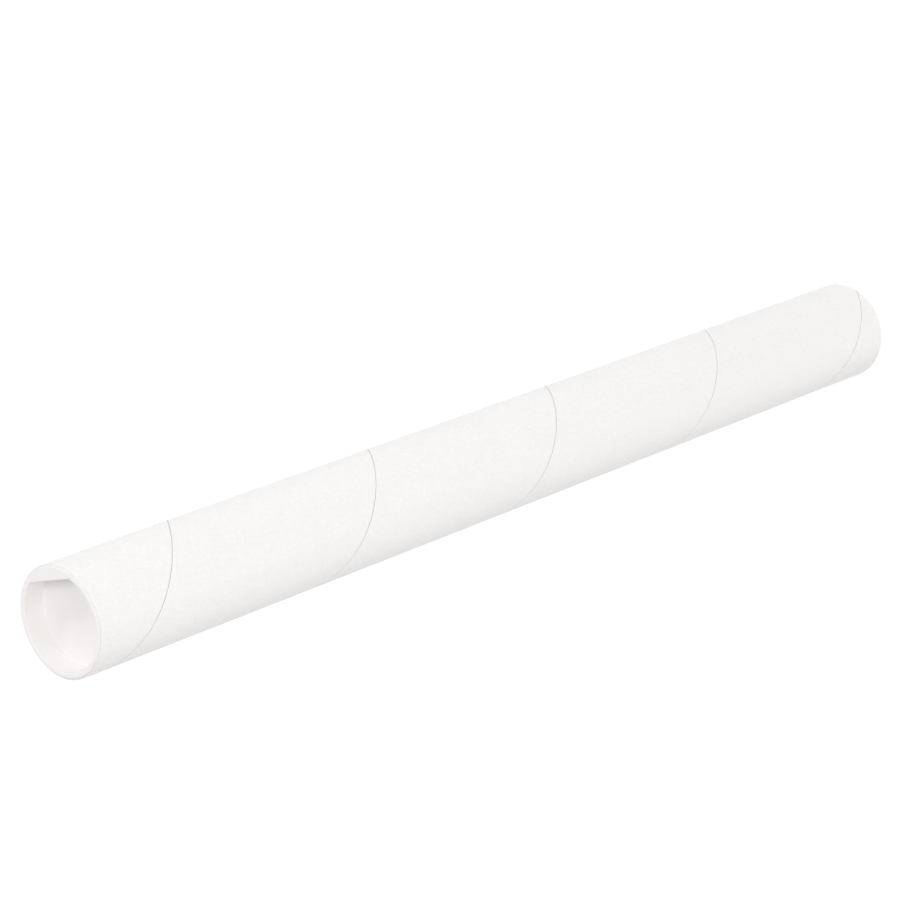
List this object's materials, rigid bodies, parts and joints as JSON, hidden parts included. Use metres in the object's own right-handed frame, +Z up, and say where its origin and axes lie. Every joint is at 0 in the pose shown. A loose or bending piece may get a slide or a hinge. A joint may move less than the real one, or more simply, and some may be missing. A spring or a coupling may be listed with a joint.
{
  "type": "cardboard mailing tube",
  "caption": "Spiral-wound white paper tube for posting rolled prints, closed at each end by a push-in plastic cap with a half-moon pull tab.",
  "frame": {"origin": "centre of the lower cap's outer face, which the tube stands on", "axes": "+Z up the tube's axis to the upper cap, +X towards the side with the upper cap's pull tab"},
  "size_m": [0.0548, 0.0548, 0.611],
  "materials": {
    "paperboard": "uncoated",
    "cap_plastic": "satin"
  },
  "bodies": {
    "tube_body": {"tube": "paperboard"},
    "upper_cap_body": {"upper_cap": "cap_plastic"},
    "lower_cap_body": {"lower_cap": "cap_plastic"}
  },
  "joints": [
    {"name": "upper_cap_pull", "type": "slide", "parent": "tube_body", "child": "upper_cap_body", "axis": [0, 0, 1], "range_m": [0, 0.03]},
    {"name": "lower_cap_pull", "type": "slide", "parent": "tube_body", "child": "lower_cap_body", "axis": [0, 0, -1], "range_m": [0, 0.03]}
  ]
}
